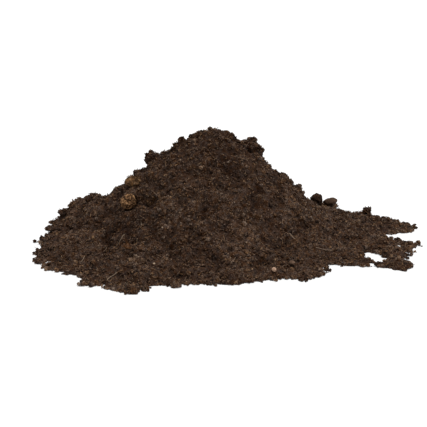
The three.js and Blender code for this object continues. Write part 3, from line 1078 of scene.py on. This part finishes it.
def roots(name, lines, thickness, tints, material, slot):
    """One piece of thin tubes along the lines, each line with its tint."""
    mesh = bpy.data.meshes.new(name)
    ends = np.cumsum([0] + [len(line) for line in lines])
    edges = [(k, k + 1) for first, last in zip(ends[:-1], ends[1:]) for k in range(first, last - 1)]
    mesh.from_pydata(np.concatenate(lines).tolist(), edges, [])
    with_values(mesh, tint=np.repeat(tints, np.diff(ends)))
    obj = with_tree(new_piece(name, mesh), ROOTS, {"Thickness": thickness, "Material": material})
    with_hollows(obj.data)
    return finish_piece(lay_out_tubes(above_floor(obj), len(lines)), slot)


def curved(x, y, heading, length, turn):
    """A line with even steps that turns evenly from its heading."""
    ways = np.radians(heading + turn * np.linspace(0, 1, SHOWN_STEPS - 1))
    steps = length * MM / (SHOWN_STEPS - 1) * np.column_stack([np.cos(ways), np.sin(ways)])
    return np.array([x, y]) * MM + np.vstack([(0, 0), np.cumsum(steps, 0)])


def patch_of(mesh, centre, radius):
    """The part of a mesh that lies near a place."""
    part = bmesh.new()
    part.from_mesh(mesh)
    centre = Vector(centre) * MM
    bmesh.ops.delete(part, geom=[v for v in part.verts if (v.co - centre).length > radius], context="VERTS")
    near = bpy.data.meshes.new("patch")
    part.to_mesh(near)
    part.free()
    return near


# Trees and finishes
GRAINS = grain_tree()
CRUMBS = crumb_tree()
ROOTS = root_tree()
SOIL_TONE = soil_tone_group()
WOOD_GRAIN = grain_group()
soil = soil_material("soil", base_tint=-0.06)
crumb = soil_material("soil crumbs", own_tints=True)
dark_soil = soil_material("dark soil", base_tint=-0.16)
root = fibre_material("root fibre", (0.07, 0.04, 0.024), (0.16, 0.1, 0.063), (0.36, 0.26, 0.175))
peat_fibre = fibre_material("peat fibre", (0.026, 0.014, 0.0085), (0.09, 0.051, 0.031),
                            (0.235, 0.148, 0.092))
peat_bit = fibre_material("peat bit", (0.012, 0.006, 0.0034), (0.07, 0.0385, 0.024), (0.26, 0.165, 0.104))
tuft_fibre = fibre_material("tuft fibre", (0.045, 0.023, 0.0115), (0.15, 0.082, 0.039), (0.44, 0.255, 0.13))
splinter = fibre_material("wood splinter", (0.06, 0.028, 0.014), (0.155, 0.077, 0.04), (0.26, 0.138, 0.073))
dark_bark = wood_material("dark bark", turn=10, dark=(0.036, 0.02, 0.0125), pale=(0.1, 0.06, 0.039))
reddish_wood = wood_material("reddish wood", turn=100, dark=(0.06, 0.029, 0.015), pale=(0.17, 0.088, 0.047))
brown_wood = wood_material("brown wood", turn=110, dark=(0.085, 0.048, 0.03), pale=(0.2, 0.125, 0.083))
keep_clear = new_piece("keep_clear", joined(*(welded(node) for node in CLEAR_LUMPS)))
chance = np.random.default_rng(SEED)

# Body of soil
heap = welded("soil_heap")
lump_tree = tree_of(joined(*(welded(node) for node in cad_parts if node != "soil_heap")))
clumps = grains("clumps", heap, SEED, soil, **CLUMPS)
lump_places, lump_sizes = toe_lumps(rim_line(heap))
lump_places += [(x * MM, y * MM, z * MM) for x, y, z, _ in SKYLINE_LUMPS + EDGE_LUMPS]
lump_sizes += [size * MM for *_, size in SKYLINE_LUMPS + EDGE_LUMPS]
toe = above_floor(crumbs_at("toe", lump_places, lump_sizes, lump_sizes, SEED + 3, soil, detail=2))
soil_skin = fused(joined(heap, clumps.data, toe.data), SOIL_VOXEL)
bpy.data.objects.remove(clumps)
bpy.data.objects.remove(toe)
roughened(soil_skin, SOIL_RELIEF, SOIL_DRAWN_IN, DRAWN_IN_FROM)
lowered(soil_skin)
soil_skin = fused(soil_skin, SOIL_VOXEL)
flat_base(soil_skin)
lay_out_heap(soil_skin)
finish_piece(paint(new_piece("soil_body", soil_skin), soil), "soil", "soil_heap")

# Clods, bark, wood, peat and pebble
clods = [clod(node, clump * MM, soil, "soil") for node, clump in SOIL_CLODS.items()]
lump("angular_clod", dark_soil, "dark_soil", voxel=0.6 * MM,
     layers=[(2.4 * MM, 0.8 * MM), (5.0 * MM, 1.6 * MM)])
clods.append(clod("rim_flake_left", FLAKE_CLUMP * MM, dark_soil, "dark_soil"))
tuft = lump("peat_tuft", peat_material(), "peat", voxel=0.6 * MM, layers=[(2.4 * MM, 1.0 * MM)])
lump("oval_bark_chip", dark_bark, "bark", voxel=0.4 * MM, layers=[(2.0 * MM, 0.4 * MM), (5.0 * MM, 1.2 * MM)])
chip = lump("wood_chip_left", reddish_wood, "bark", voxel=0.25 * MM, layers=[(2.0 * MM, 0.3 * MM)])
lump("wood_chip_right", brown_wood, "bark", voxel=0.25 * MM, layers=[(2.0 * MM, 0.3 * MM)])
lump("pale_pebble", pebble_material(), "pebble", voxel=0.2 * MM, layers=[(2.4 * MM, 0.25 * MM)])
nugget = cracked(roughened(fused(welded("bark_nugget"), NUGGET_VOXEL), NUGGET_RELIEF))
finish_piece(paint(new_piece("bark_nugget_skin", nugget), nugget_material()), "bark", "bark_nugget")

# Crumbs of soil
ground = joined(soil_skin, *(c.data for c in clods))
# Map of the hollows, by which the soil and fibres lying in them are darkened as painted shade
HOLLOW_SHADE = hollow_map(ground)
for mesh in (soil_skin, *(c.data for c in clods)):
    with_hollows(mesh)
coarse_crumbs = grains("coarse_crumbs", ground, SEED + 20, crumb, **COARSE_CRUMBS)
fine_crumbs = grains("fine_crumbs_1", ground, SEED + 30, crumb, **FINE_CRUMBS)
rim_places, rim_sizes = rim_strings(rim_line(soil_skin))
rim_tints = chance.random(len(rim_sizes))
rim_crumbs = crumbs_at("rim_crumbs", rim_places, rim_sizes, rim_tints, SEED, crumb)
crumb_pieces = (coarse_crumbs, fine_crumbs, rim_crumbs)
for piece in crumb_pieces:
    with_hollows(piece.data)
    finish_piece(lay_out_crumbs(above_floor(piece)), "soil", smooth=False)

# Roots, fibres and splinters
crumbly = joined(*(piece.data for piece in crumb_pieces))
ground_tree = tree_of(ground)
heap_tree = tree_of(heap)
clear_tree = tree_of(keep_clear.data)
shown = [laid_down(curved(**shape), SHOWN_HEIGHT) for shape in SHOWN_ROOTS]
roots("shown_roots", shown, SHOWN_THICKNESS, np.full(len(shown), SHOWN_TINT), root, "peat")
lines = lying_roots(**LONG_ROOTS)
roots("long_roots", lines, LONG_THICKNESS, chance.random(len(lines)) ** 2, root, "peat")
lines = standing_roots(crumbly, **SHORT_ROOTS)
roots("short_roots", lines, SHORT_THICKNESS, chance.random(len(lines)) ** 2, root, "peat")
for number in range(FIBRE_PIECES):
    lines = felted(standing_roots(crumbly, slope=heap_tree, **PEAT_FIBRES))
    roots(f"peat_fibres_{number + 1}", lines, FIBRE_THICKNESS, chance.random(len(lines)), peat_fibre, "peat")
for number in range(BIT_PIECES):
    lines = felted(standing_roots(crumbly, slope=heap_tree, **PEAT_BITS))
    roots(f"peat_bits_{number + 1}", lines, BIT_THICKNESS, chance.random(len(lines)), peat_bit, "peat")
lines = standing_roots(chip.data, slope=heap_tree, **CHIP_SPLINTERS)
roots("chip_splinters", lines, SPLINTER_THICKNESS, chance.random(len(lines)), splinter, "bark")
lines = standing_roots(tuft.data, **TUFT_FIBRES)
roots("peat_tuft_fibres", lines, TUFT_THICKNESS, chance.random(len(lines)), tuft_fibre, "peat")

# Second tuft and pale specks
lines = standing_roots(patch_of(crumbly, SECOND_TUFT, SECOND_TUFT_RADIUS), **SECOND_TUFT_FIBRES)
tints = SECOND_TUFT_DARKEST + SECOND_TUFT_SPAN * chance.random(len(lines))
roots("second_tuft_fibres", lines, SECOND_TUFT_THICKNESS, tints, tuft_fibre, "peat")

speck_places = [tuple(place) for place in starts_on(crumbly, SPECK_COUNT)[0]]
speck_sizes = list(chance.uniform(*SPECK_SIZE, SPECK_COUNT))
speck_tints = list(SPECK_PALEST * chance.random(SPECK_COUNT))
for x, y, size, tint in SHOWN_SPECKS:
    speck_places.append(tuple(laid_down(np.array([(x * MM, y * MM)]), SPECK_HEIGHT)[0]))
    speck_sizes.append(size * MM)
    speck_tints.append(tint)
specks = crumbs_at("pale_specks", speck_places, speck_sizes, speck_tints, SEED + 60, speck_material())
finish_piece(lay_out_crumbs(above_floor(specks)), "pebble", smooth=False)
bpy.data.objects.remove(keep_clear)

# Floor, light and camera
floor_mesh = bpy.data.meshes.new("floor")
floor_mesh.from_pydata([(-FLOOR_REACH, -FLOOR_REACH, 0), (FLOOR_REACH, -FLOOR_REACH, 0),
                        (FLOOR_REACH, FLOOR_REACH, 0), (-FLOOR_REACH, FLOOR_REACH, 0)], [], [(0, 1, 2, 3)])
floor = paint(new_piece("floor", floor_mesh), floor_material())
floor.location.z = -FLOOR_DROP

lamp = bpy.data.objects.new("soft_lamp", bpy.data.lights.new("soft_lamp", "SUN"))
lamp.data.angle = LAMP_SPREAD
lamp.data.energy = LAMP_STRENGTH
lamp.rotation_euler = LAMP_TURN
scene.collection.objects.link(lamp)

world = bpy.data.worlds.new("studio")
scene.world = world
world.use_nodes = True
sky = world.node_tree
background = sky.nodes["Background"]
background.inputs["Color"].default_value = (1, 1, 1, 1)
sky.links.new(math_of(sky, "ADD", seen_directly(sky, 1 - SKY), SKY), background.inputs["Strength"])

camera = bpy.data.objects.new("camera", bpy.data.cameras.new("camera"))
camera.data.lens = CAMERA_LENS
camera.data.sensor_width = CAMERA_SENSOR
camera.location = CAMERA_PLACE
camera.rotation_euler = CAMERA_TURN
scene.collection.objects.link(camera)
scene.camera = camera
